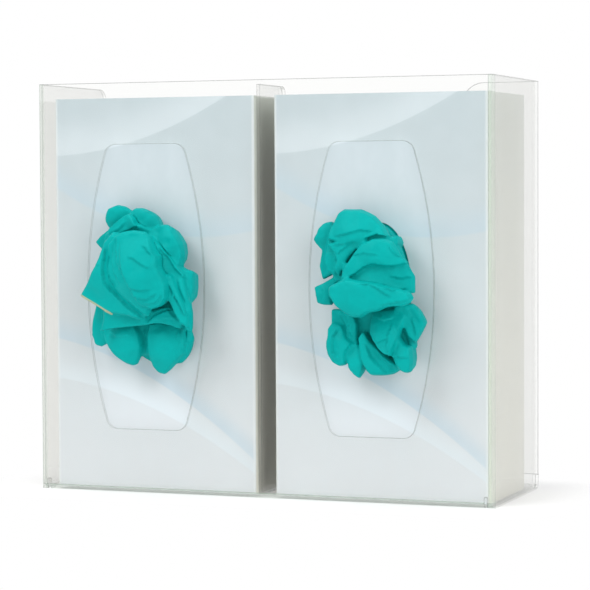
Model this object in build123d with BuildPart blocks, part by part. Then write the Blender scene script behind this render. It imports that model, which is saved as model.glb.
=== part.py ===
"""Clear double glove dispenser: a bent sheet housing with two glove cartons.

Lengths are in millimetres. +Z is up and the front faces -Y. The origin is the middle of the
underside of the housing's floor.
"""

import os
from typing import NamedTuple

from build123d import *

# Glove cartons
carton_width = 134.4
carton_depth = 80.0
carton_height = 242.6
card = 0.6
carton_fold_radius = 1.5
hand_hole_width = 40.0
hand_hole_height = 80.0
end_flap_setback = 14.0
glue_flap_width = 15.0

# Room that the housing leaves round a carton
side_play = 10.5
right_gap = 2.2
bend_clearance = 0.3
rear_room = 18.5
head_room = 9.4

# Housing sheet
sheet = 2.0
bend_radius = 1.2
top_corner_radius = 9.0
bottom_corner_radius = 5.0

# Barrel-shaped cut-outs in the front panel
cutout_top_drop = 38.0
cutout_end_width = 50.6
cutout_middle_width = 78.2
cutout_corner_radius = 7.5
cutout_bottom = 39.6
cutout_shift = -1.5

# Floor
relief_width = 1.5
relief_height = 6.5
relief_inset = 6.0
floor_edge_gap = 0.5
floor_widening_setback = 8.0
floor_corner_radius = 3.0

# Rear flanges and their wall holes
flange_width = 50.0
flange_corner_radius = 14.0
flange_bottom = 8.4
left_flange_drop = 24.0
left_notch_depth = 6.0
notch_radius = 3.0
screw_hole_diameter = 5.0
screw_hole_inset = 27.0
screw_hole_level = 42.0
keyhole_drop = 54.0
keyhole_entry_diameter = 10.0
keyhole_slot_length = 12.0

# Divider
divider_sheet = 2.2
divider_depth = 43.0
divider_drop = 2.7
divider_corner_radius = 5.0

# Packed gloves
pack_gap = 1.5
pack_front_gap = 0.4
pack_head_room = 6.0
pack_layers = 5
pack_groove = 0.8
pack_groove_height = 1.6
pack_corner_radius = 9.0

# Pulled-out gloves
neck_gap = 1.2
neck_split = 0.8
neck_overlap = 2.5
neck_seat_gap = 0.3
glove_panel_gap = 0.5
left_bunch_drift = -2.0
right_bunch_drift = -1.5

# Sizes that follow
pocket_width = carton_width + side_play
housing_width = 2 * sheet + divider_sheet + 2 * pocket_width
front_gap = bend_radius + bend_clearance
housing_depth = 2 * sheet + front_gap + carton_depth + rear_room
housing_height = sheet + carton_height + head_room
outer_bend = bend_radius + sheet
left_flange_top = housing_height - left_flange_drop
keyhole_level = housing_height - keyhole_drop
cutout_height = housing_height - cutout_bottom - cutout_top_drop
front_y = -housing_depth / 2
front_inner_y = front_y + sheet
rear_y = housing_depth / 2
wall_inner_x = housing_width / 2 - sheet
pocket_centres = {
    "left": -(divider_sheet + pocket_width) / 2,
    "right": (divider_sheet + pocket_width) / 2,
}
carton_centres = {
    side: centre + pocket_width / 2 - right_gap - carton_width / 2
    for side, centre in pocket_centres.items()
}
carton_front_y = front_inner_y + front_gap
carton_centre_y = carton_front_y + carton_depth / 2
cutout_centre_z = cutout_bottom + cutout_height / 2

os.makedirs("parts", exist_ok=True)


def front_plane(x: float, y: float, z: float) -> Plane:
    """Plane that looks out of the front: local x is +X, local y is +Z, normal -Y."""
    return Plane(origin=(x, y, z), x_dir=(1, 0, 0), z_dir=(0, -1, 0))


# Housing: one clear sheet, bent
with BuildPart() as housing:
    # Front, walls and flanges as one wrap
    with BuildSketch():
        RectangleRounded(housing_width, housing_depth, outer_bend)
        RectangleRounded(
            housing_width - 2 * sheet,
            housing_depth - 2 * sheet,
            bend_radius,
            mode=Mode.SUBTRACT,
        )
        with Locations((0, rear_y)):
            Rectangle(housing_width - 2 * flange_width, 4 * sheet, mode=Mode.SUBTRACT)
    extrude(amount=housing_height)

    # Rounded lower front edge of the whole wrap
    with BuildSketch(Plane.YZ.offset(-housing_width / 2)):
        with Locations((front_y, 0)):
            Rectangle(outer_bend, outer_bend, align=Align.MIN)
        with Locations((front_y + outer_bend, outer_bend)):
            Circle(outer_bend, mode=Mode.SUBTRACT)
    extrude(amount=housing_width, mode=Mode.SUBTRACT)

    # Front panel cut away where the floor bends back from it
    floor_bend_half = housing_width / 2 - relief_inset
    with BuildSketch(front_plane(0, front_y, 0)):
        with Locations((0, -outer_bend)):
            Rectangle(
                2 * (floor_bend_half + relief_width),
                relief_height + outer_bend,
                align=(Align.CENTER, Align.MIN),
            )
    extrude(amount=-outer_bend, mode=Mode.SUBTRACT)

    # Floor with its bend
    with BuildSketch(Plane.YZ.offset(-floor_bend_half)) as floor_section:
        with Locations((front_y, 0)):
            Rectangle(housing_depth, relief_height, align=Align.MIN)
        fillet(floor_section.vertices().group_by(Axis.Y)[0].sort_by(Axis.X)[0], outer_bend)
        with Locations((front_inner_y, sheet)):
            Rectangle(housing_depth, relief_height, align=Align.MIN, mode=Mode.SUBTRACT)
        with Locations((front_inner_y, sheet)):
            Rectangle(bend_radius, bend_radius, align=Align.MIN)
        with Locations((front_inner_y + bend_radius, sheet + bend_radius)):
            Circle(bend_radius, mode=Mode.SUBTRACT)
    extrude(amount=2 * floor_bend_half)

    # Floor plate, wider behind the bend
    floor_plate_y = front_y + floor_widening_setback
    with BuildSketch() as floor_plate:
        with Locations((0, floor_plate_y)):
            Rectangle(
                2 * (wall_inner_x - floor_edge_gap),
                rear_y - floor_plate_y,
                align=(Align.CENTER, Align.MIN),
            )
        fillet(floor_plate.vertices(), floor_corner_radius)
    extrude(amount=sheet)

    # Barrel-shaped cut-outs
    for pocket_x in pocket_centres.values():
        with BuildSketch(front_plane(pocket_x + cutout_shift, front_y, cutout_centre_z)) as cutout:
            top = cutout_height / 2
            end = cutout_end_width / 2
            middle = cutout_middle_width / 2
            with BuildLine():
                Line((-end, top), (end, top))
                ThreePointArc((end, top), (middle, 0), (end, -top))
                Line((end, -top), (-end, -top))
                ThreePointArc((-end, -top), (-middle, 0), (-end, top))
            make_face()
            fillet(cutout.vertices(), cutout_corner_radius)
        extrude(amount=-sheet, mode=Mode.SUBTRACT)

    # Walls end at the rear bend below the flanges, with rounded lower corners
    wall_end_y = rear_y - outer_bend
    for wall_x in (-housing_width / 2, wall_inner_x):
        with BuildSketch(Plane.YZ.offset(wall_x)):
            with Locations((wall_end_y, 0)):
                Rectangle(outer_bend, flange_bottom, align=Align.MIN)
            with Locations((wall_end_y, 0)):
                Rectangle(
                    bottom_corner_radius, bottom_corner_radius, align=(Align.MAX, Align.MIN)
                )
            with Locations((wall_end_y - bottom_corner_radius, bottom_corner_radius)):
                Circle(bottom_corner_radius, mode=Mode.SUBTRACT)
        extrude(amount=sheet, mode=Mode.SUBTRACT)

    # Flanges end above the floor
    with BuildSketch(front_plane(0, rear_y, sheet)):
        Rectangle(housing_width, flange_bottom - sheet, align=(Align.CENTER, Align.MIN))
    extrude(amount=outer_bend, mode=Mode.SUBTRACT)

    # Left wall: shorter flange, with a notch down to it and a rounded top corner
    notch_y = rear_y - left_notch_depth - sheet
    with BuildSketch(Plane.YZ.offset(-housing_width / 2)) as left_notch:
        with Locations((notch_y, left_flange_top)):
            Rectangle(
                housing_depth, housing_height - left_flange_top + sheet, align=Align.MIN
            )
        fillet(left_notch.vertices().group_by(Axis.Y)[0].sort_by(Axis.X)[0], notch_radius)
    extrude(amount=flange_width, mode=Mode.SUBTRACT)
    with BuildSketch(Plane.YZ.offset(-housing_width / 2)):
        with Locations((notch_y, housing_height)):
            Rectangle(top_corner_radius, top_corner_radius, align=Align.MAX)
        with Locations((notch_y - top_corner_radius, housing_height - top_corner_radius)):
            Circle(top_corner_radius, mode=Mode.SUBTRACT)
    extrude(amount=sheet, mode=Mode.SUBTRACT)

    # Rounded inner top corners of the flanges
    flange_tops = {-1: left_flange_top, 1: housing_height}
    for hand, flange_top in flange_tops.items():
        inner_x = hand * (housing_width / 2 - flange_width)
        with BuildSketch(front_plane(inner_x, rear_y, flange_top)):
            with Locations((hand * flange_corner_radius / 2, -flange_corner_radius / 2)):
                Rectangle(flange_corner_radius, flange_corner_radius)
            with Locations((hand * flange_corner_radius, -flange_corner_radius)):
                Circle(flange_corner_radius, mode=Mode.SUBTRACT)
        extrude(amount=sheet, mode=Mode.SUBTRACT)

    # Wall holes: a keyhole above and a plain screw hole below on each flange
    for hand in flange_tops:
        hole_x = hand * (housing_width / 2 - screw_hole_inset)
        with BuildSketch(front_plane(hole_x, rear_y, 0)):
            with Locations((0, screw_hole_level)):
                Circle(screw_hole_diameter / 2)
            with Locations((0, keyhole_level)):
                Circle(keyhole_entry_diameter / 2)
            with Locations((0, keyhole_level + keyhole_slot_length / 2)):
                SlotCenterToCenter(keyhole_slot_length, screw_hole_diameter, rotation=90)
        extrude(amount=sheet, mode=Mode.SUBTRACT)
housing.part.label = "housing"
export_step(housing.part, "parts/housing.step")

# Divider: a clear strip on edge, glued behind the front panel and on the floor
with BuildPart() as divider:
    with BuildSketch(Plane.YZ.offset(-divider_sheet / 2)) as divider_outline:
        with Locations((front_inner_y, sheet)):
            Rectangle(
                divider_depth,
                housing_height - divider_drop - sheet,
                align=Align.MIN,
            )
        fillet(
            divider_outline.vertices().group_by(Axis.Y)[-1].sort_by(Axis.X)[-1],
            divider_corner_radius,
        )
        # Lower front corner clears the inside of the floor bend
        chamfer(
            divider_outline.vertices().group_by(Axis.Y)[0].sort_by(Axis.X)[0],
            bend_radius,
        )
    extrude(amount=divider_sheet)
divider.part.label = "divider"
export_step(divider.part, "parts/divider.step")

# Cartons: folded card with glued end flaps and an oval hand hole
for side, centre_x in carton_centres.items():
    with BuildPart() as carton:
        # Tube of card
        with BuildSketch(Plane.XY.offset(sheet)):
            with Locations((centre_x, carton_centre_y)):
                RectangleRounded(carton_width, carton_depth, carton_fold_radius)
                RectangleRounded(
                    carton_width - 2 * card,
                    carton_depth - 2 * card,
                    carton_fold_radius - card,
                    mode=Mode.SUBTRACT,
                )
        extrude(amount=carton_height)

        # End closures: an inner flap all over, and an outer flap that stops short of the back
        carton_top = sheet + carton_height
        flap_levels = [
            (sheet, carton_depth - end_flap_setback),
            (sheet + card, carton_depth),
            (carton_top - 2 * card, carton_depth),
            (carton_top - card, carton_depth - end_flap_setback),
        ]
        for level, flap_depth in flap_levels:
            with BuildSketch(Plane.XY.offset(level)):
                with Locations((centre_x, carton_front_y + card / 2)):
                    Rectangle(
                        carton_width - card,
                        flap_depth - card,
                        align=(Align.CENTER, Align.MIN),
                    )
            extrude(amount=card)

        # Glue flap inside the left rear fold
        with BuildSketch(Plane.XY.offset(sheet + card)):
            with Locations(
                (centre_x - carton_width / 2 + card / 2, carton_front_y + carton_depth - 2 * card)
            ):
                Rectangle(glue_flap_width, card, align=Align.MIN)
        extrude(amount=carton_height - 2 * card)

        # Hand hole
        with BuildSketch(front_plane(centre_x, carton_front_y, cutout_centre_z)):
            Ellipse(hand_hole_width / 2, hand_hole_height / 2)
        extrude(amount=-card, mode=Mode.SUBTRACT)
    carton.part.label = f"carton_{side}"
    export_step(carton.part, f"parts/carton_{side}.step")

# Gloves still packed in each carton: one pressed stack whose layers show as ridges
pack_front_y = carton_front_y + card + pack_front_gap
pack_depth = carton_depth - 2 * card - pack_front_gap - pack_gap - card
pack_width = carton_width - 2 * (card + pack_gap)
pack_bottom = sheet + 2 * card
pack_height = carton_height - 4 * card - pack_head_room
for side, centre_x in carton_centres.items():
    with BuildPart() as glove_pack:
        with BuildSketch(front_plane(centre_x, pack_front_y, pack_bottom + pack_height / 2)):
            RectangleRounded(
                pack_width - 2 * pack_groove,
                pack_height - 2 * pack_groove,
                pack_corner_radius - pack_groove,
            )
        extrude(amount=-pack_depth)
        pitch = (pack_depth + pack_groove_height) / pack_layers
        for layer in range(pack_layers):
            with BuildSketch(
                front_plane(centre_x, pack_front_y + layer * pitch, pack_bottom + pack_height / 2)
            ):
                RectangleRounded(pack_width, pack_height, pack_corner_radius)
            extrude(amount=-(pitch - pack_groove_height))
    glove_pack.part.label = f"glove_pack_{side}"
    export_step(glove_pack.part, f"parts/glove_pack_{side}.step")



class Fold(NamedTuple):
    """One fold of a pulled-out glove, a flat-faced lobe of film.

    The outline is seen from the front, about the middle of the hand hole. Back and front are
    distances from the front panel, and the front face leans by so much per millimetre.
    """

    outline: list[tuple[float, float]]
    back: float
    front: float
    lean_right: float = 0.0
    lean_up: float = 0.0


# Height of the hand hole that the folds are drawn for
DRAWN_HOLE_HEIGHT = 80

# Reach from a fold's back to its front, and the share of its outline that it has there
FOLD_PROFILE = [(0.0, 0.74), (0.7, 1.0), (1.0, 0.92)]

LEFT_UPPER = [
    # Core behind the folds
    Fold([(-22, 34), (0, 42), (20, 32), (27, 16), (20, 5), (0, 3), (-19, 5), (-26, 18)], 0, 18),
    # Finger at the top left
    Fold([(-22, 37), (-24, 41), (-23, 45), (-21, 49), (-16, 51), (-11, 50), (-6, 47), (-5, 41),
          (-13, 34)], 1, 12),
    # Top roll, in two folds
    Fold([(-7, 46), (-3, 49), (2, 49), (7, 47), (11, 44), (14, 39), (13, 34), (7, 31), (1, 34),
          (-3, 40)], 2, 15),
    Fold([(10, 37), (15, 39), (19, 39), (23, 37), (27, 32), (30, 27), (31, 20), (30, 14),
          (26, 11), (19, 16), (12, 22), (6, 30)], 3, 18, 0.1),
    # Tab at the left
    Fold([(-31, 28), (-27, 32), (-20, 37), (-14, 36), (-16, 26), (-24, 21), (-27, 24)], 2, 12),
    # Arch over the body
    Fold([(-18, 36), (-13, 40), (-8, 44), (-4, 46), (0, 43), (3, 38), (-2, 36), (-8, 34),
          (-12, 28), (-19, 24)], 8, 21),
    # Cuff, with its corner at the left
    Fold([(-37, -5), (-31, 4), (-27, 11), (-24, 16), (-22, 21), (-19, 29), (-13, 35), (-6, 34),
          (4, 10), (12, -8), (10, -17), (5, -19), (-1, -17), (-9, -16), (-17, -15), (-23, -12),
          (-29, -9)], 16, 26, 0.15),
    # Wrap round the body
    Fold([(-15, 28), (-10, 33), (-5, 35), (-2, 28), (0, 17), (4, 6), (11, -3), (17, -8),
          (12, -17), (6, -13), (-2, -7), (-9, -1), (-14, 5), (-16, 14)], 16, 30, 0.15),
    # Rolled body
    Fold([(-5, 35), (2, 36), (10, 35), (14, 31), (18, 24), (21, 20), (21, 14), (24, 8),
          (26, 2), (25, -5), (21, -9), (16, -11), (9, -8), (3, 0), (-1, 8), (-4, 17),
          (-6, 27)], 16, 32, 0.0, -0.12),
    # Lower turn of the body
    Fold([(4, -3), (10, -6), (16, -6), (21, -1), (23, 5), (26, 3), (26, -5), (22, -10),
          (16, -12), (8, -9)], 18, 34),
    # Strip beside the body
    Fold([(9, 33), (13, 31), (18, 27), (23, 21), (29, 14), (34, 7), (31, 5), (25, 8), (20, 11),
          (16, 18), (12, 26)], 10, 22),
    # Pleats at the right
    Fold([(21, 10), (26, 9), (30, 1), (34, -9), (37, -17), (37, -24), (32, -21), (28, -13),
          (24, -5), (21, 3)], 16, 26, -0.2),
    Fold([(26, 9), (33, 6), (35, -2), (37, -9), (38, -16), (38, -26), (34, -25), (34, -12),
          (30, -2)], 16, 22, -0.2),
    # Ear
    Fold([(29, 14), (32, 12), (36, 11), (37, 9), (37, -1), (36, -7), (35, -9), (32, -9),
          (30, -2), (28, 6)], 5, 18, -0.2),
    # Band below the cuff
    Fold([(-22, -12), (-22, -20), (-24, -27), (-18, -25), (-9, -24), (0, -23), (8, -22),
          (13, -21), (19, -21), (25, -22), (31, -24), (33, -20), (29, -13), (22, -11), (8, -14),
          (-8, -13)], 16, 22, 0.03),
]

LEFT_LOWER = [
    # Core behind the folds
    Fold([(-19, -3), (0, -3), (19, -3), (25, -22), (14, -42), (-8, -42), (-23, -24)], 0, 9),
    # Middle fingers
    Fold([(-24, -23), (-14, -22), (-4, -22), (-1, -28), (1, -36), (-1, -43), (-3, -47),
          (-6, -48), (-10, -47), (-16, -43), (-22, -37), (-25, -33), (-26, -28)], 2, 13, 0.05),
    Fold([(6, -21), (12, -20), (22, -21), (28, -25), (31, -33), (29, -40), (24, -45),
          (19, -50), (15, -53), (11, -52), (8, -49), (6, -43), (5, -35), (4, -28)], 2, 13, -0.05),
    # Finger at the left
    Fold([(-32, -10), (-26, -12), (-23, -22), (-25, -35), (-29, -37), (-33, -36), (-35, -30),
          (-34, -18)], 1, 9),
    # Film between and beside the fingers
    Fold([(-5, -24), (3, -24), (6, -36), (9, -45), (4, -46), (0, -44), (-3, -42), (-5, -34)],
         1, 6),
    Fold([(23, -20), (31, -24), (33, -30), (31, -38), (29, -42), (25, -46), (19, -47),
          (20, -34)], 1, 8),
]

RIGHT_UPPER = [
    # Core behind the folds
    Fold([(-24, 34), (0, 42), (18, 30), (25, 16), (19, 5), (0, 3), (-20, 5), (-27, 18)], 0, 18),
    # Dome at the top
    Fold([(-20, 41), (-18, 46), (-15, 48), (-10, 48), (-4, 48), (1, 46), (5, 44), (8, 41),
          (11, 38), (13, 35), (15, 32), (9, 33), (4, 31), (-2, 30), (-10, 29), (-17, 29),
          (-23, 30), (-22, 36)], 2, 20, 0.0, -0.4),
    # Ear at the left
    Fold([(-23, 41), (-28, 40), (-31, 37), (-32, 34), (-35, 30), (-33, 27), (-30, 24),
          (-24, 25), (-19, 28), (-19, 36)], 2, 13, 0.1),
    # Tip at the right
    Fold([(11, 31), (15, 31), (18, 33), (20, 28), (18, 23), (12, 23)], 2, 15),
    # Band that turns down at the left
    Fold([(-23, 28), (-16, 29), (-8, 30), (2, 31), (4, 28), (-4, 25), (-9, 20), (-12, 14),
          (-15, 8), (-18, 12), (-16, 18), (-19, 24)], 14, 23),
    # Recessed fold across the middle
    Fold([(-12, 16), (-2, 19), (13, 19), (27, 18), (30, 12), (32, 9), (32, -1), (22, -1),
          (8, 3), (-2, 5), (-13, 6)], 14, 25, -0.1),
    # Flap above it
    Fold([(-4, 23), (0, 28), (7, 31), (14, 31), (19, 29), (22, 25), (25, 20), (29, 17),
          (22, 15), (15, 15), (8, 16), (2, 14), (-3, 10), (-9, 7), (-12, 7), (-9, 15)],
         15, 28, -0.1, -0.15),
    # Wide roll
    Fold([(-18, 3), (-12, 6), (-7, 8), (0, 7), (8, 6), (14, 5), (20, 3), (26, 2), (32, 0),
          (34, -3), (32, -6), (28, -8), (22, -8), (17, -9), (13, -11), (7, -12), (2, -15),
          (-3, -15), (-9, -12), (-14, -8), (-18, -2)], 19, 35, -0.05),
    # Folds at the left
    Fold([(-29, 25), (-25, 27), (-21, 22), (-20, 13), (-23, 9), (-29, 6), (-31, 14)], 2, 13),
    Fold([(-24, 24), (-19, 23), (-16, 15), (-18, 9), (-23, 11), (-25, 18)], 6, 19),
    # Tab below them
    Fold([(-34, 2), (-29, 4), (-20, 9), (-20, 3), (-22, -3), (-23, -9), (-28, -9), (-32, -8),
          (-33, -3)], 3, 14),
]

RIGHT_LOWER = [
    # Core behind the folds
    Fold([(-18, -5), (0, -3), (17, -5), (24, -20), (20, -38), (-3, -44), (-17, -36),
          (-20, -22)], 0, 10),
    # Slope under the wide roll
    Fold([(-23, -11), (-18, -11), (-9, -12), (-6, -20), (-6, -31), (-13, -32), (-19, -27),
          (-23, -20)], 3, 15),
    # Middle petal
    Fold([(4, -11), (12, -10), (21, -10), (25, -14), (24, -18), (22, -24), (20, -31),
          (18, -38), (14, -37), (10, -34), (6, -29), (3, -24), (3, -18)], 6, 22, 0.0, -0.4),
    # Right petal
    Fold([(17, -8), (23, -7), (28, -7), (31, -10), (34, -15), (36, -19), (33, -25), (30, -30),
          (26, -27), (23, -20), (19, -17)], 3, 17, -0.1),
    # Fold between the right petal and the corner
    Fold([(18, -18), (23, -20), (27, -27), (29, -34), (24, -34), (19, -27)], 2, 12),
    # Corner petal
    Fold([(17, -29), (20, -26), (24, -31), (28, -32), (29, -40), (28, -47), (25, -48),
          (21, -46), (18, -40), (15, -34)], 3, 21, 0.1),
    # Bottom fold
    Fold([(2, -29), (8, -35), (13, -39), (18, -42), (21, -46), (16, -49), (10, -50), (3, -50),
          (0, -47), (-2, -42), (-4, -34), (-5, -27), (-2, -23)], 3, 18, -0.15),
    # Fingertip
    Fold([(-13, -37), (-11, -33), (-6, -30), (-4, -36), (-2, -44), (-3, -48), (-5, -52),
          (-8, -50), (-11, -46)], 4, 17),
    # Left lobe
    Fold([(-24, -22), (-21, -18), (-15, -20), (-12, -27), (-8, -31), (-12, -37), (-13, -44),
          (-17, -45), (-21, -43), (-24, -38), (-25, -32), (-24, -26)], 3, 19, 0.1),
]

# Each glove's carton, whether its neck is the upper half of the hand hole, and its folds
GLOVES = {
    "glove_left_upper": ("left", 1, LEFT_UPPER),
    "glove_left_lower": ("left", -1, LEFT_LOWER),
    "glove_right_upper": ("right", 1, RIGHT_UPPER),
    "glove_right_lower": ("right", -1, RIGHT_LOWER),
}

# Folds keep their proportion to the hand hole
fold_unit = hand_hole_height / DRAWN_HOLE_HEIGHT
drift = {"left": left_bunch_drift, "right": right_bunch_drift}
neck_start_y = pack_front_y - neck_seat_gap
neck_end_y = front_y - glove_panel_gap - neck_overlap
for name, (side, hand, folds) in GLOVES.items():
    centre_x = carton_centres[side]
    with BuildPart() as glove:
        # Gathered neck: half of the hand hole less its gaps
        with BuildSketch(front_plane(centre_x, neck_start_y, cutout_centre_z)):
            Ellipse(hand_hole_width / 2 - neck_gap, hand_hole_height / 2 - neck_gap)
            with Locations((0, hand * (neck_split + hand_hole_height) / 2)):
                Rectangle(hand_hole_width, hand_hole_height, mode=Mode.INTERSECT)
        extrude(amount=neck_start_y - neck_end_y)

        # Folds, each lofted from its own outline
        for fold in folds:
            middle_x = sum(x for x, _ in fold.outline) / len(fold.outline)
            middle_z = sum(z for _, z in fold.outline) / len(fold.outline)
            sections = []
            for reach, share in FOLD_PROFILE:
                corners = []
                for x, z in fold.outline:
                    out_x = share * (x - middle_x)
                    out_z = share * (z - middle_z)
                    lean = fold.lean_right * out_x + fold.lean_up * out_z
                    height = fold.back + reach * (fold.front - fold.back + lean)
                    corners.append(
                        (
                            centre_x + drift[side] + fold_unit * (middle_x + out_x),
                            front_y - glove_panel_gap - fold_unit * height,
                            cutout_centre_z + fold_unit * (middle_z + out_z),
                        )
                    )
                sections.append(Face(Wire.make_polygon(corners)))
            loft(sections=sections, ruled=True)
    glove.part.label = name
    export_step(glove.part, f"parts/{name}.step")
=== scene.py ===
"""Looks of the clear double glove dispenser: clear bent sheet, printed cartons, nitrile gloves.

Lengths are in metres. +Z is up and the dispenser faces -Y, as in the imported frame.
"""

from __future__ import annotations

import logging
import math
from dataclasses import dataclass
from typing import Any

import bmesh
import bpy
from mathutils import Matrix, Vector, noise

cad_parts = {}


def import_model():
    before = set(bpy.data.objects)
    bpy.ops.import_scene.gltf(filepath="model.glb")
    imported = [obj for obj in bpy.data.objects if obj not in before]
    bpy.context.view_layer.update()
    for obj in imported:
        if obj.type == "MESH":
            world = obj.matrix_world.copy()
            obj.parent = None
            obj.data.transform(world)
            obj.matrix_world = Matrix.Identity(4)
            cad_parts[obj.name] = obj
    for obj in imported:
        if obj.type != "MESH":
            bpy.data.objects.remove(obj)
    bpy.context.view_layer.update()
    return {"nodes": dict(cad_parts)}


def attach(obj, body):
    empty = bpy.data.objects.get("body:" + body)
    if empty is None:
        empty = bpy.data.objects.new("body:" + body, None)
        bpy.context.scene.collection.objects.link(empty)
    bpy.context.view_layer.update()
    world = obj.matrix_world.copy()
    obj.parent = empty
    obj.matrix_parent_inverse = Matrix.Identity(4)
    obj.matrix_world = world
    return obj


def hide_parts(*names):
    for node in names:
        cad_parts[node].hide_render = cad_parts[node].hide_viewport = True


log = logging.getLogger("glove_dispenser")

Colour = tuple[float, float, float]
HOUSING_WIDTH = 0.296
HOUSING_DEPTH = 0.104
MM_IN_METRE = 1000
WHITE = (1.0, 1.0, 1.0, 1.0)


# Shader maths


class Socket:
    """A shader socket or number that adds Math nodes when it is used in an expression."""

    def __init__(self, builder: "NodeBuilder", link: Any) -> None:
        """Wrap a socket.

        Args:
            builder: The node builder that owns the tree.
            link: An output socket.
        """
        self.builder = builder
        self.link = link

    def _maths(self, operation: str, *values: Any) -> "Socket":
        """Add one Math node.

        Args:
            operation: The Math node's operation.
            values: Sockets or numbers, in the node's order.

        Returns:
            The node's result.
        """
        inputs = dict(enumerate(values))
        return self.builder.node("ShaderNodeMath", inputs, operation=operation)

    def __add__(self, other: Any) -> "Socket":
        """Sum."""
        return self._maths("ADD", self, other)

    __radd__ = __add__

    def __mul__(self, other: Any) -> "Socket":
        """Product."""
        return self._maths("MULTIPLY", self, other)

    __rmul__ = __mul__

    def __sub__(self, other: Any) -> "Socket":
        """Difference."""
        return self._maths("SUBTRACT", self, other)

    def __rsub__(self, other: Any) -> "Socket":
        """Difference with the socket on the right."""
        return self._maths("SUBTRACT", other, self)

    def __truediv__(self, other: Any) -> "Socket":
        """Quotient."""
        return self._maths("DIVIDE", self, other)

    def __pow__(self, other: Any) -> "Socket":
        """Power."""
        return self._maths("POWER", self, other)

    def __abs__(self) -> "Socket":
        """Size without sign."""
        return self._maths("ABSOLUTE", self)

    def clamped(self) -> "Socket":
        """The value held between 0 and 1."""
        return self.builder.node("ShaderNodeClamp", {"Value": self}, output="Result")

    def at_least(self, other: Any) -> "Socket":
        """The larger of two values."""
        return self._maths("MAXIMUM", self, other)

    def smooth_step(self, low: float, high: float) -> "Socket":
        """Rise smoothly from 0 to 1.

        Args:
            low: Where the rise starts.
            high: Where it ends.

        Returns:
            The eased value.
        """
        return self.builder.node(
            "ShaderNodeMapRange",
            {"Value": self, "From Min": low, "From Max": high},
            output="Result",
            interpolation_type="SMOOTHSTEP",
        )


class NodeBuilder:
    """Builds the node tree of one material or world."""

    def __init__(self, owner: bpy.types.Material | bpy.types.World) -> None:
        """Start with an empty tree.

        Args:
            owner: The new material or world.
        """
        self.owner = owner
        owner.use_nodes = True
        self.tree = owner.node_tree
        self.tree.nodes.clear()

    @classmethod
    def material(cls, name: str) -> "NodeBuilder":
        """Start an empty material of this name."""
        return cls(bpy.data.materials.new(name))

    def node(
        self, kind: str, inputs: dict | None = None, output: Any = 0, **settings: Any
    ) -> Socket:
        """Add a node.

        Args:
            kind: The node's type.
            inputs: Values or sockets by input name or number.
            output: Name or number of the output that is used.
            settings: The node's own settings.

        Returns:
            The chosen output.
        """
        made = self.tree.nodes.new(kind)
        for key, value in settings.items():
            setattr(made, key, value)
        for key, value in (inputs or {}).items():
            if isinstance(value, Socket):
                self.tree.links.new(value.link, made.inputs[key])
            else:
                made.inputs[key].default_value = value
        return Socket(self, made.outputs[output])

    def mix(self, factor: Any, first: Any, second: Any) -> Socket:
        """Mix two colours.

        Args:
            factor: Share of the second colour.
            first: Colour as a tuple or socket.
            second: Colour as a tuple or socket.

        Returns:
            The mixed colour.
        """
        inputs = {0: factor, 6: _colour(first), 7: _colour(second)}
        return self.node("ShaderNodeMix", inputs, 2, data_type="RGBA")

    def mix_shader(self, factor: Any, first: Socket, second: Socket) -> Socket:
        """Mix two shaders.

        Args:
            factor: Share of the second shader.
            first: The first shader.
            second: The second shader.

        Returns:
            The mixed shader.
        """
        return self.node("ShaderNodeMixShader", {0: factor, 1: first, 2: second})

    def seen_white(self) -> Socket:
        """1 for rays from the camera and those that a clear or shiny surface sends on."""
        path = self.node("ShaderNodeLightPath", output="Is Camera Ray")
        outputs = path.link.node.outputs
        sent_on = Socket(self, outputs["Is Glossy Ray"]) + Socket(self, outputs["Is Transmission Ray"])
        return (path + sent_on).clamped()

    def position(self) -> tuple[Socket, Socket, Socket]:
        """Object coordinates as three sockets, in metres."""
        place = self.node("ShaderNodeTexCoord", output="Object")
        parts = self.node("ShaderNodeSeparateXYZ", {0: place})
        outputs = parts.link.node.outputs
        return tuple(Socket(self, outputs[axis]) for axis in range(3))

    def surface(
        self, shader: Socket, kind: str = "ShaderNodeOutputMaterial"
    ) -> bpy.types.Material | bpy.types.World:
        """Finish the material or world.

        Args:
            shader: The surface shader.
            kind: The output node's type.

        Returns:
            The finished material or world.
        """
        output = self.tree.nodes.new(kind)
        self.tree.links.new(shader.link, output.inputs["Surface"])
        return self.owner


def _colour(value: Any) -> Any:
    """Give a colour its alpha; pass a socket through."""
    return value if isinstance(value, Socket) else (*value[:3], 1.0)


def srgb(red: int, green: int, blue: int) -> Colour:
    """Linear colour from 8-bit screen values.

    Args:
        red: Red, 0 to 255.
        green: Green, 0 to 255.
        blue: Blue, 0 to 255.

    Returns:
        The three linear channels.
    """

    def linear(level: int) -> float:
        """One channel."""
        share = level / 255
        return share / 12.92 if share <= 0.04045 else ((share + 0.055) / 1.055) ** 2.4

    return linear(red), linear(green), linear(blue)


# Finishes


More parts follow.
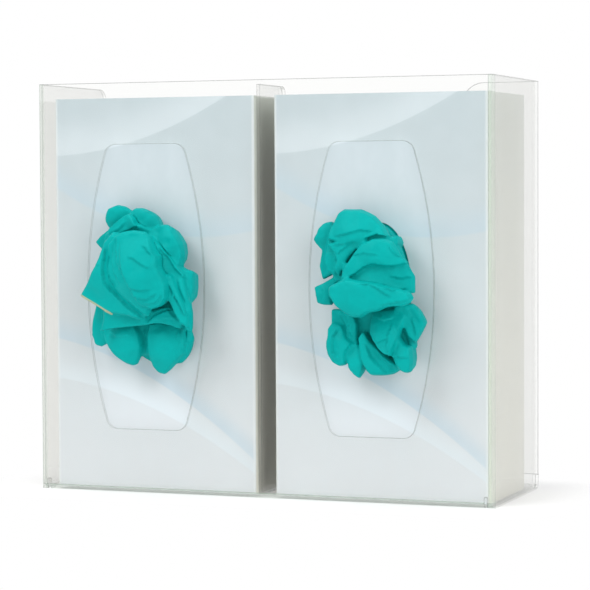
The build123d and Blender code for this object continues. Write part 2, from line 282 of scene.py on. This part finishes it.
@dataclass(frozen=True)
class ClearSheet:
    """Clear plastic sheet: nearly invisible faces and pale green bends; cut edges, bend lines and
    slanted views are the plastic's own green tint darkened by painted shade, which stands in for
    refraction.
    """

    passing: Colour = (0.995, 0.996, 0.992)
    veil_colour: Colour = srgb(240, 241, 232)
    # Dark grey-green: the plastic's own tint darkened by painted shade, for cut edges, bend lines and
    # slanted views.
    edge_tint_and_shade: Colour = srgb(62, 72, 68)
    bend_colour: Colour = srgb(196, 214, 198)
    veil: float = 0.006
    smears: float = 0.01
    bend_fill: float = 0.22
    line_shade_fill: float = 0.62
    gloss: float = 0.4
    edge_width: float = 0.0007
    edge_turn: tuple[float, float] = (0.01, 0.12)
    half_width: float = HOUSING_WIDTH / 2
    front_y: float = -HOUSING_DEPTH / 2
    bend: float = 0.0032
    bend_blur: float = 0.0004
    line_core: float = 0.0002
    line_end: float = 0.0005
    bend_line_shade_share: float = 0.5
    grazing_power: int = 7
    grazing_shade_share: float = 0.75

    def build(self) -> bpy.types.Material:
        """Make the material."""
        nodes = NodeBuilder.material("clear_sheet")
        x, y, z = nodes.position()
        edge = self._edge_shade_mask(nodes)
        bend_line_shade = self._bend_line_shade_mask(x, y, z)
        grazing = nodes.node("ShaderNodeLayerWeight", {"Blend": 0.5}, "Facing")
        # Painted shade: cut edges, bend lines and slanted views are darkened and made less clear in
        # colour, in place of refraction.
        line = edge.at_least(bend_line_shade * self.bend_line_shade_share)
        line = line.at_least((grazing**self.grazing_power) * self.grazing_shade_share)
        bend = self._bends(x, y, z)
        colour = nodes.mix(bend, self.veil_colour, self.bend_colour)
        # The painted edge and line shade goes into the colour here.
        colour = nodes.mix(line, colour, self.edge_tint_and_shade)
        place = nodes.node("ShaderNodeTexCoord", output="Object")
        smear = nodes.node(
            "ShaderNodeTexNoise", {"Vector": place, "Scale": 25.0, "Detail": 3.0}, "Fac"
        )
        body = nodes.node(
            "ShaderNodeBsdfPrincipled",
            {"Base Color": colour, "Roughness": 0.12 + smear * 0.1, "IOR": 1.5},
        )
        through = nodes.node("ShaderNodeBsdfTransparent", {"Color": _colour(self.passing)})
        filled = self.veil + smear * self.smears + bend * self.bend_fill + line * self.line_shade_fill
        sheet = nodes.mix_shader(filled.clamped(), through, body)
        gloss = nodes.node("ShaderNodeBsdfGlossy", {"Roughness": 0.03})
        reflected = nodes.node("ShaderNodeFresnel", {"IOR": 1.45}) * self.gloss
        shiny = nodes.mix_shader(reflected, sheet, gloss)
        lamp_ray = nodes.node("ShaderNodeLightPath", output="Is Shadow Ray")
        open_air = nodes.node("ShaderNodeBsdfTransparent")
        return nodes.surface(nodes.mix_shader(lamp_ray, shiny, open_air))

    def _edge_shade_mask(self, nodes: NodeBuilder) -> Socket:
        """Mask of the sheet's cut edges, from how the surface turns nearby, where dark shade is
        painted.

        Args:
            nodes: The material's builder.

        Returns:
            The mask.
        """
        rounded = nodes.node("ShaderNodeBevel", {"Radius": self.edge_width}, "Normal", samples=6)
        flat = nodes.node("ShaderNodeNewGeometry", output="Normal")
        along = nodes.node(
            "ShaderNodeVectorMath", {0: rounded, 1: flat}, "Value", operation="DOT_PRODUCT"
        )
        return (1 - along).smooth_step(*self.edge_turn)

    def _bends(self, x: Socket, y: Socket, z: Socket) -> Socket:
        """Mask of the bends along the front's sides and foot.

        Args:
            x: Place across.
            y: Place in depth.
            z: Height.

        Returns:
            The mask.
        """
        side_start = self.half_width - self.bend
        wall_start = self.front_y + self.bend
        upright = abs(x).smooth_step(side_start - self.bend_blur, side_start)
        front = 1 - y.smooth_step(wall_start, wall_start + self.bend_blur)
        foot = 1 - z.smooth_step(self.bend, self.bend + self.bend_blur)
        return (upright * front).at_least(foot * front)

    def _bend_line_shade_mask(self, x: Socket, y: Socket, z: Socket) -> Socket:
        """Mask of the thin lines where a flat face turns into a bend, painted dark as shade.

        Args:
            x: Place across.
            y: Place in depth.
            z: Height.

        Returns:
            The mask.
        """
        near, far = self.line_core, self.line_end
        on_front = 1 - y.smooth_step(self.front_y + near, self.front_y + far)
        on_side = abs(x).smooth_step(self.half_width - far, self.half_width - near)
        side_line = self._thin(abs(x) - (self.half_width - self.bend)) * on_front
        wall_line = self._thin(y - (self.front_y + self.bend)) * on_side
        foot_line = self._thin(z - self.bend) * on_front
        return side_line.at_least(wall_line).at_least(foot_line)

    def _thin(self, distance: Socket) -> Socket:
        """Mask of a thin line where a distance is zero."""
        return 1 - abs(distance).smooth_step(self.line_core, self.line_end)


@dataclass(frozen=True)
class Ribbon:
    """A printed ribbon that fades upward from a curved lower edge."""

    level: float
    slope: float
    curve: float
    width: float
    colour: Colour
    strength: float


PALE_RIBBON = srgb(222, 231, 236)
BLUE_RIBBON = srgb(184, 207, 220)


@dataclass(frozen=True)
class PrintedCard:
    """Semi-gloss card with a pale blue-grey print of broad soft ribbons."""

    top_colour: Colour = srgb(190, 203, 208)
    bottom_colour: Colour = srgb(222, 226, 229)
    ribbons: tuple[Ribbon, ...] = (
        Ribbon(0.222, 0.35, 2.4, 0.030, PALE_RIBBON, 0.55),
        Ribbon(0.162, -0.20, 3.2, 0.022, BLUE_RIBBON, 0.45),
        Ribbon(0.070, -0.55, -2.6, 0.018, BLUE_RIBBON, 0.55),
        Ribbon(0.052, -0.42, -2.2, 0.016, PALE_RIBBON, 0.75),
    )
    side_top_colour: Colour = srgb(208, 213, 205)
    side_bottom_colour: Colour = srgb(240, 239, 228)
    fold_colour: Colour = srgb(236, 240, 240)
    height: float = 0.245
    centres: tuple[float, float] = (-0.0705, 0.0766)
    half_width: float = 0.0672
    ribbon_edge: float = 0.0008
    pale_fold_width: float = 0.0025
    fold_width: float = 0.0008
    fold_share: float = 0.6
    side_turn: tuple[float, float] = (0.6, 0.9)
    cloud_range: tuple[float, float] = (0.35, 0.75)
    cloud_share: float = 0.12
    pocket_blur: float = 0.0001

    def build(self) -> bpy.types.Material:
        """Make the material."""
        nodes = NodeBuilder.material("printed_card")
        x, y, z = nodes.position()
        rise = (z / self.height).clamped()
        across = self._across(x)
        front = nodes.mix(rise, self.bottom_colour, self.top_colour)
        front = self._ribbons(nodes, front, across, z)
        side = nodes.mix(rise, self.side_bottom_colour, self.side_top_colour)
        normal = nodes.node("ShaderNodeTexCoord", output="Normal")
        facing = nodes.node("ShaderNodeSeparateXYZ", {0: normal})
        sideways = abs(Socket(nodes, facing.link.node.outputs["X"])).smooth_step(*self.side_turn)
        colour = nodes.mix(sideways, front, side)
        # Paler strip along the front's edges at the side folds.
        pale_fold = abs(across).smooth_step(
            self.half_width - self.pale_fold_width, self.half_width - self.fold_width
        )
        colour = nodes.mix(pale_fold * (1 - sideways) * self.fold_share, colour, self.fold_colour)
        fibre = nodes.node("ShaderNodeTexNoise", {"Scale": 900.0, "Detail": 2.0}, "Fac")
        cloud = nodes.node("ShaderNodeTexNoise", {"Scale": 14.0, "Detail": 3.0}, "Fac")
        faded = cloud.smooth_step(*self.cloud_range) * self.cloud_share
        colour = nodes.mix(faded, colour, PALE_RIBBON)
        bump = nodes.node(
            "ShaderNodeBump", {"Strength": 0.06, "Distance": 0.0002, "Height": fibre}, "Normal"
        )
        card = nodes.node(
            "ShaderNodeBsdfPrincipled",
            {
                "Base Color": colour,
                "Roughness": 0.4 + cloud * 0.1,
                "Specular IOR Level": 0.3,
                "Normal": bump,
            },
        )
        return nodes.surface(card)

    def _across(self, x: Socket) -> Socket:
        """Distance to the right of the carton's own middle.

        Args:
            x: Place across.

        Returns:
            The distance.
        """
        left, right = self.centres
        on_right = x.smooth_step(-self.pocket_blur, self.pocket_blur)
        return x - left - on_right * (right - left)

    def _ribbons(self, nodes: NodeBuilder, front: Socket, across: Socket, z: Socket) -> Socket:
        """Lay broad soft ribbons over the front's colour.

        Args:
            nodes: The material's builder.
            front: The colour under the ribbons.
            across: Distance from the carton's middle.
            z: Height.

        Returns:
            The colour with its ribbons.
        """
        for ribbon in self.ribbons:
            crest = across * ribbon.slope + across * across * ribbon.curve + ribbon.level
            above = z - crest
            edge = above.smooth_step(-self.ribbon_edge, self.ribbon_edge)
            band = edge * (1 - above.smooth_step(0.0, ribbon.width))
            front = nodes.mix(band * ribbon.strength, front, ribbon.colour)
        return front


@dataclass(frozen=True)
class Nitrile:
    """Teal nitrile film, satin, with a fine grain."""

    colour: Colour = srgb(0, 168, 164)
    deep_colour: Colour = srgb(0, 148, 145)
    hem_colour: Colour = srgb(196, 190, 150)
    cloud_range: tuple[float, float] = (0.3, 0.8)
    cloud_share: float = 0.4
    hem_range: tuple[float, float] = (0.2, 0.8)
    hem_share: float = 0.8

    def build(self) -> bpy.types.Material:
        """Make the material."""
        nodes = NodeBuilder.material("nitrile")
        place = nodes.node("ShaderNodeTexCoord", output="Object")
        cloud = nodes.node(
            "ShaderNodeTexNoise", {"Vector": place, "Scale": 40.0, "Detail": 3.0}, "Fac"
        )
        deep = cloud.smooth_step(*self.cloud_range) * self.cloud_share
        colour = nodes.mix(deep, self.colour, self.deep_colour)
        hem = nodes.node("ShaderNodeAttribute", output="Fac", attribute_name="hem")
        pale = hem.smooth_step(*self.hem_range) * self.hem_share
        colour = nodes.mix(pale, colour, self.hem_colour)
        grain = nodes.node(
            "ShaderNodeTexNoise", {"Vector": place, "Scale": 1400.0, "Detail": 2.0}, "Fac"
        )
        bump = nodes.node(
            "ShaderNodeBump", {"Strength": 0.12, "Distance": 0.0002, "Height": grain}, "Normal"
        )
        film = nodes.node(
            "ShaderNodeBsdfPrincipled",
            {
                "Base Color": colour,
                "Roughness": 0.55,
                "Specular IOR Level": 0.07,
                "Normal": bump,
            },
        )
        return nodes.surface(film)


@dataclass(frozen=True)
class StudioWhite:
    """White floor that shows its shadow, at full white to the camera elsewhere."""

    reflectance: float = 0.95
    lift: float = 0.1
    half_width: float = HOUSING_WIDTH / 2
    half_depth: float = HOUSING_DEPTH / 2
    far: float = 0.045

    def build(self) -> bpy.types.Material:
        """Make the material."""
        nodes = NodeBuilder.material("studio_white")
        grey = _colour((self.reflectance,) * 3)
        paint = nodes.node("ShaderNodeBsdfDiffuse", {"Color": grey})
        x, y, _ = nodes.position()
        beside = (abs(x) - self.half_width).at_least(0.0)
        before = (abs(y) - self.half_depth).at_least(0.0)
        distance = (beside * beside + before * before) ** 0.5
        share = self.lift + distance.smooth_step(0.0, self.far) * (1 - self.lift)
        white = nodes.node("ShaderNodeEmission", {"Color": WHITE})
        return nodes.surface(nodes.mix_shader(nodes.seen_white() * share, paint, white))


# Gloves


@dataclass(frozen=True)
class Tuck:
    """A fold line in the film: the film to the left of its direction lies on top.

    Places are millimetres from the middle of the bunch, seen from the front.
    """

    line: tuple[tuple[float, float], ...]
    lift: float = 1.0
    width: float = 4.0
    reach: float = 4.0
    end_fade: float = 3.0
    sink: float = 0.7
    sink_width: float = 0.6

    def move(self, x: float, z: float) -> float:
        """How far the film moves forward at a place, in millimetres.

        Args:
            x: Place to the right of the middle.
            z: Place above it.

        Returns:
            The distance, negative below the fold.
        """
        nearest, side, along = 1e9, 1.0, 0.0
        walked = 0.0
        length = sum(math.dist(a, b) for a, b in zip(self.line, self.line[1:]))
        for (ax, az), (bx, bz) in zip(self.line, self.line[1:]):
            run = math.hypot(bx - ax, bz - az)
            ux, uz = (bx - ax) / run, (bz - az) / run
            share = min(max((x - ax) * ux + (z - az) * uz, 0.0), run)
            away = math.hypot(x - ax - share * ux, z - az - share * uz)
            if away < nearest:
                nearest, along = away, walked + share
                side = 1.0 if (z - az) * ux - (x - ax) * uz > 0 else -1.0
            walked += run
        if nearest > self.reach * self.width:
            return 0.0
        fade = min(1.0, along / self.end_fade, (length - along) / self.end_fade)
        if side > 0:
            return self.lift * fade * math.exp(-nearest / self.width)
        return -self.sink * self.lift * fade * math.exp(-nearest / (self.sink_width * self.width))


@dataclass(frozen=True)
class Swell:
    """A soft crown on a fold, in millimetres from the middle of the bunch."""

    x: float
    z: float
    radius: float
    height: float

    def move(self, x: float, z: float) -> float:
        """How far the film moves forward at a place, in millimetres."""
        share = math.hypot(x - self.x, z - self.z) / self.radius
        return self.height * max(0.0, 1 - share * share) ** 2 * (1 + share)


@dataclass
class GloveBunch:
    """The part of a glove that is pulled out through the cut-out, as crumpled film."""

    node: str
    middle: tuple[float, float]
    tucks: tuple[Tuck, ...]
    swells: tuple[Swell, ...]
    hem: tuple[tuple[float, float], ...] = ()
    panel_y: float = -HOUSING_DEPTH / 2 * MM_IN_METRE
    panel_clearance: float = 1.0
    weld: float = 1e-6
    voxel: float = 0.0007
    smoothing: int = 2
    soften: float = 0.5
    settle: float = 0.35
    grain_height: float = 0.6
    grain_length: float = 10.0
    grain_fade: float = 1.0
    grain_step: float = 2.0
    grain_detail: int = 3
    facing_gain: float = 1.6
    facing_start: float = 0.1
    hem_width: float = 1.6
    hem_front: float = 15.0

    def build(self, source: bpy.types.Object, film: bpy.types.Material) -> bpy.types.Object:
        """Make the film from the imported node's form.

        Args:
            source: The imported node's object.
            film: The film's material.

        Returns:
            The finished piece.
        """
        mesh = source.data.copy()
        self._merge(mesh)
        piece = bpy.data.objects.new(f"{self.node}_film", mesh)
        bpy.context.collection.objects.link(piece)
        remesh = piece.modifiers.new("even", "REMESH")
        remesh.mode = "VOXEL"
        remesh.voxel_size = self.voxel
        even = bpy.data.meshes.new_from_object(
            piece.evaluated_get(bpy.context.evaluated_depsgraph_get())
        )
        piece.modifiers.clear()
        piece.data = even
        bpy.data.meshes.remove(mesh)
        even.name = piece.name
        self._fold(even)
        even.materials.clear()
        even.materials.append(film)
        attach(piece, "root")
        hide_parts(self.node)
        log.info("%s folded, %d points", piece.name, len(even.vertices))
        return piece

    def _merge(self, mesh: bpy.types.Mesh) -> None:
        """Join a mesh's loose triangles.

        Args:
            mesh: The copied mesh.
        """
        shape = bmesh.new()
        shape.from_mesh(mesh)
        bmesh.ops.remove_doubles(shape, verts=shape.verts, dist=self.weld)
        shape.to_mesh(mesh)
        shape.free()

    def _fold(self, mesh: bpy.types.Mesh) -> None:
        """Soften the form, then press its tucks, crowns and wrinkles into its front.

        Args:
            mesh: The evenly divided mesh, changed in place.
        """
        shape = bmesh.new()
        shape.from_mesh(mesh)
        hem_layer = shape.verts.layers.float.new("hem")
        for _ in range(self.smoothing):
            self._smooth(shape, self.soften)
        shape.normal_update()
        moves = []
        for vert in shape.verts:
            x = vert.co.x * MM_IN_METRE - self.middle[0]
            y = vert.co.y * MM_IN_METRE
            z = vert.co.z * MM_IN_METRE - self.middle[1]
            facing = min(max(-self.facing_gain * vert.normal.y - self.facing_start, 0.0), 1.0)
            if y > self.panel_y - self.panel_clearance:
                facing = 0.0
            moves.append(self._press(x, y, z) * facing / MM_IN_METRE if facing else 0.0)
            if self.hem:
                vert[hem_layer] = self._hem_share(x, z, y)
        for vert, move in zip(shape.verts, moves):
            vert.co.y -= move
        self._smooth(shape, self.settle)
        for face in shape.faces:
            face.smooth = True
        shape.to_mesh(mesh)
        shape.free()

    def _smooth(self, shape: bmesh.types.BMesh, factor: float) -> None:
        """Smooth a shape once, by a share of the way to its neighbours' mean."""
        bmesh.ops.smooth_vert(
            shape,
            verts=shape.verts,
            factor=factor,
            use_axis_x=True,
            use_axis_y=True,
            use_axis_z=True,
        )

    def _press(self, x: float, y: float, z: float) -> float:
        """How far the film moves forward at a place, in millimetres.

        Args:
            x: Place to the right of the middle.
            y: Place in depth.
            z: Place above the middle.

        Returns:
            The distance.
        """
        move = sum(tuck.move(x, z) for tuck in self.tucks)
        move += sum(swell.move(x, z) for swell in self.swells)
        point = Vector((x, y, z)) / self.grain_length
        grain = noise.fractal(point, self.grain_fade, self.grain_step, self.grain_detail)
        return move + self.grain_height * grain

    def _hem_share(self, x: float, z: float, y: float) -> float:
        """How much of the pale hem a place shows.

        Args:
            x: Place to the right of the middle.
            z: Place above the middle.
            y: Place in depth.

        Returns:
            The share, 0 to 1.
        """
        away = 1e9
        for (ax, az), (bx, bz) in zip(self.hem, self.hem[1:]):
            run = math.hypot(bx - ax, bz - az)
            share = min(max(((x - ax) * (bx - ax) + (z - az) * (bz - az)) / run, 0.0), run)
            near_x = ax + share * (bx - ax) / run
            near_z = az + share * (bz - az) / run
            away = min(away, math.hypot(x - near_x, z - near_z))
        if y >= self.panel_y - self.hem_front:
            return 0.0
        return min(max(self.hem_width - away, 0.0), 1.0)


LEFT_MIDDLE = (-72.5, 127.8)
RIGHT_MIDDLE = (75.1, 127.8)

LEFT_UPPER = GloveBunch(
    "glove_left_upper",
    LEFT_MIDDLE,
    tucks=(
        Tuck(((1, 5), (-2, 10), (-6, 16), (-8, 24), (-8, 32)), -1.2, 5),
        Tuck(((2, 20), (7, 18.5), (13, 14.5), (19, 12)), 1.0, 5),
        Tuck(((9, 27), (13, 25), (16, 22), (18, 20)), 1.0, 4),
        Tuck(((3, -3), (8, -5), (13, -6), (18, -4), (21, -1)), 1.0, 3),
        Tuck(((4, 1), (11, -0.5), (18, 0)), 0.9, 3),
        Tuck(((13, -9), (19, -8), (23, -5), (24, 0)), 0.8, 3),
        Tuck(((9, -18), (3, -14), (-4, -9), (-11, -3), (-17, 3), (-19, 12), (-18, 25)), 1.6, 7),
        Tuck(((-27, 17), (-23, 14), (-19, 14)), 0.7, 3),
        Tuck(((18, 26), (23, 20), (28, 12), (33, 7)), 1.2, 3),
        Tuck(((25, 5), (28, -3), (32, -10), (36, -17)), 1.3, 3),
        Tuck(((23, -6), (27, -12), (31, -18), (35, -23)), 1.2, 3),
        Tuck(((29, 7), (32, -2), (35, -9)), 1.2, 2.5),
        Tuck(((27, -1), (30, -8), (34, -14)), -1.2, 1.8),
        Tuck(((21, -11), (25, -15), (30, -20)), -1.2, 1.8),
        Tuck(((-14, 22), (-15, 14), (-13, 6), (-8, 0)), -1.3, 2.2),
        Tuck(((-10, 28), (-11, 18), (-9, 9), (-3, 3)), 1.1, 2.2),
        Tuck(((9, -21), (13, -17), (19, -14), (27, -12)), -1.2, 4),
        Tuck(((12, -19), (21, -18), (31, -18)), 0.6, 3),
        Tuck(((-17, 33), (-10, 36), (-5, 41)), 0.8, 3),
    ),
    swells=(
        Swell(6, 11, 22, 5),
        Swell(-20, 6, 13, 2),
        Swell(4, 42, 10, 2.5),
        Swell(22, 28, 10, 2.5),
        Swell(-17, 45, 9, 2.5),
    ),
    hem=((-35, -5), (-27, -9), (-21, -12), (-15, -15)),
)
LEFT_LOWER = GloveBunch(
    "glove_left_lower",
    LEFT_MIDDLE,
    tucks=(
        Tuck(((-22, -27), (-14, -30), (-5, -29)), 0.6, 5),
        Tuck(((24, -25), (27, -33), (24, -42)), 0.6, 5),
        Tuck(((0, -25), (2, -32), (3, -40)), 1.0, 2.5),
        Tuck(((29, -24), (30, -32), (28, -42)), 1.2, 2.5),
        Tuck(((-28, -12), (-27, -22), (-28, -33)), 0.6, 4),
    ),
    swells=(Swell(-12, -34, 14, 3), Swell(17, -37, 16, 3.5), Swell(-30, -24, 9, 1.5)),
)
RIGHT_UPPER = GloveBunch(
    "glove_right_upper",
    RIGHT_MIDDLE,
    tucks=(
        Tuck(((-18, 32), (-8, 34), (-1, 36), (6, 35)), 1.0, 4),
        Tuck(((-20, 41), (-21, 35), (-22, 31)), 0.8, 3),
        Tuck(((-19, 27), (-11, 27.5), (-3, 29.5)), 0.9, 2.5),
        Tuck(((-17, 21), (-13, 24), (-7, 28)), 0.9, 2.5),
        Tuck(((-13, 8), (-11, 13), (-9, 18), (-6, 24)), -1.2, 3),
        Tuck(((-5, 21), (3, 22.5), (12, 21.5)), 0.7, 5),
        Tuck(((17, 9), (24, 8), (31, 9)), 0.9, 3),
        Tuck(((3, 5), (9, 5), (13, 3), (17, 0), (22, -3)), 1.1, 3.5),
        Tuck(((16, 3), (22, 1.5), (29, 2)), 0.9, 3),
        Tuck(((15, -8), (21, -6), (28, -5), (33, -4)), 1.2, 3),
        Tuck(((17, 28), (20, 23), (26, 19)), 0.9, 3),
        Tuck(((-25, 24), (-24, 16), (-26, 9)), 1.2, 2.5),
        Tuck(((-20, 21), (-18, 16), (-20, 11)), 1.2, 2.5),
        Tuck(((-31, 3), (-27, 0), (-27, -7)), 0.8, 3),
    ),
    swells=(
        Swell(-6, 40, 15, 3.5),
        Swell(11, 24, 13, 2),
        Swell(5, -3, 18, 3),
        Swell(-29, 33, 8, 2),
        Swell(-27, -3, 7, 1.5),
    ),
)
RIGHT_LOWER = GloveBunch(
    "glove_right_lower",
    RIGHT_MIDDLE,
    tucks=(
        Tuck(((5, -29), (10, -29.5), (16, -27)), 1.0, 3),
        Tuck(((7, -15), (13, -17), (19, -15)), 0.8, 4),
        Tuck(((18, -18), (16, -26), (15, -34)), 0.8, 4),
        Tuck(((25, -9), (28, -14), (33, -19)), -1.1, 4),
        Tuck(((28, -15), (30, -22), (31, -28)), 0.8, 3),
        Tuck(((19, -37), (24, -38.5), (29, -38)), 1.1, 3),
        Tuck(((16, -32), (19, -39), (23, -46)), 1.2, 3),
        Tuck(((0, -31), (3, -38), (8, -43), (14, -49)), -1.2, 4),
        Tuck(((6, -34), (10, -39), (15, -43), (20, -46)), 1.2, 3),
        Tuck(((-16, -22), (-20, -27), (-20, -36), (-16, -40)), -1.3, 4),
        Tuck(((-19, -11), (-16, -16), (-13, -22), (-12, -28)), 1.2, 3),
        Tuck(((-13, -13), (-11, -20), (-10, -28)), 1.0, 2.5),
        Tuck(((20, -20), (24, -27), (26, -33)), 1.2, 2.5),
    ),
    swells=(
        Swell(13, -19, 11, 2),
        Swell(-17, -33, 10, 2.5),
        Swell(-7, -42, 8, 2),
        Swell(22, -40, 9, 1.5),
        Swell(8, -44, 10, 1.5),
    ),
)


# Studio


@dataclass(frozen=True)
class Lamp:
    """A soft square lamp."""

    name: str
    place: tuple[float, float, float]
    aim: tuple[float, float, float]
    size: float
    power: float

    def hang(self) -> None:
        """Add the lamp to the scene."""
        data = bpy.data.lights.new(self.name, "AREA")
        data.size = self.size
        data.energy = self.power
        lamp = bpy.data.objects.new(self.name, data)
        lamp.location = self.place
        direction = Vector(self.aim) - Vector(self.place)
        lamp.rotation_euler = direction.to_track_quat("-Z", "Y").to_euler()
        bpy.context.collection.objects.link(lamp)


@dataclass
class Studio:
    """Camera, lamps, world and floor."""

    camera_place: tuple[float, float, float] = (0.5208, -1.3522, 0.18795)
    camera_yaw: float = 20.900
    camera_pitch: float = 2.627
    camera_roll: float = 0.299
    lens: float = 141.2
    sensor_width: float = 36.0
    floor_size: float = 6.0
    sky: float = 0.5
    lamps: tuple[Lamp, ...] = (
        Lamp("key", (-0.9, -1.3, 1.5), (0, 0, 0.12), 1.0, 17),
        Lamp("fill", (1.4, -1.0, 0.9), (0, 0, 0.12), 1.0, 12),
        Lamp("top", (0.0, 0.0, 1.7), (0, 0, 0.0), 1.4, 10),
    )

    def place_camera(self) -> None:
        """Put the camera at the photograph's viewing angle."""
        data = bpy.data.cameras.new("camera")
        data.lens = self.lens
        data.sensor_width = self.sensor_width
        camera = bpy.data.objects.new("camera", data)
        camera.location = self.camera_place
        camera.rotation_euler = (
            math.radians(90 - self.camera_pitch),
            math.radians(self.camera_roll),
            math.radians(self.camera_yaw),
        )
        bpy.context.collection.objects.link(camera)
        bpy.context.scene.camera = camera

    def lay_floor(self) -> None:
        """Lay the white floor."""
        mesh = bpy.data.meshes.new("floor")
        shape = bmesh.new()
        bmesh.ops.create_grid(shape, x_segments=1, y_segments=1, size=self.floor_size)
        shape.to_mesh(mesh)
        shape.free()
        floor = bpy.data.objects.new("floor", mesh)
        floor.data.materials.append(StudioWhite().build())
        bpy.context.collection.objects.link(floor)

    def light(self) -> None:
        """Light the object softly from above left, with fill all round."""
        for lamp in self.lamps:
            lamp.hang()
        world = bpy.data.worlds.new("world")
        nodes = NodeBuilder(world)
        lit = nodes.node("ShaderNodeBackground", {"Color": WHITE, "Strength": self.sky})
        seen = nodes.node("ShaderNodeBackground", {"Color": WHITE})
        nodes.surface(nodes.mix_shader(nodes.seen_white(), lit, seen), "ShaderNodeOutputWorld")
        bpy.context.scene.world = world

    def build(self) -> None:
        """Set the whole studio."""
        bpy.context.scene.view_settings.view_transform = "Standard"
        self.place_camera()
        self.lay_floor()
        self.light()


def dress(node: bpy.types.Object, material: bpy.types.Material) -> None:
    """Give a node one material.

    Args:
        node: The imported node's object.
        material: Its finish.
    """
    node.data.materials.clear()
    node.data.materials.append(material)
    log.info("%s dressed in %s", node.name, material.name)


def main() -> None:
    """Load the frame, dress it and set the studio."""
    logging.basicConfig(level=logging.INFO, format="%(name)s: %(message)s")
    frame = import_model()
    nodes = frame["nodes"]
    clear = ClearSheet().build()
    card = PrintedCard().build()
    nitrile = Nitrile().build()
    for name in ("housing", "divider"):
        dress(nodes[name], clear)
    for name in ("carton_left", "carton_right"):
        dress(nodes[name], card)
    for name in ("glove_pack_left", "glove_pack_right"):
        dress(nodes[name], nitrile)
    for bunch in (LEFT_UPPER, LEFT_LOWER, RIGHT_UPPER, RIGHT_LOWER):
        bunch.build(nodes[bunch.node], nitrile)
    Studio().build()


if __name__ == "__main__":
    main()
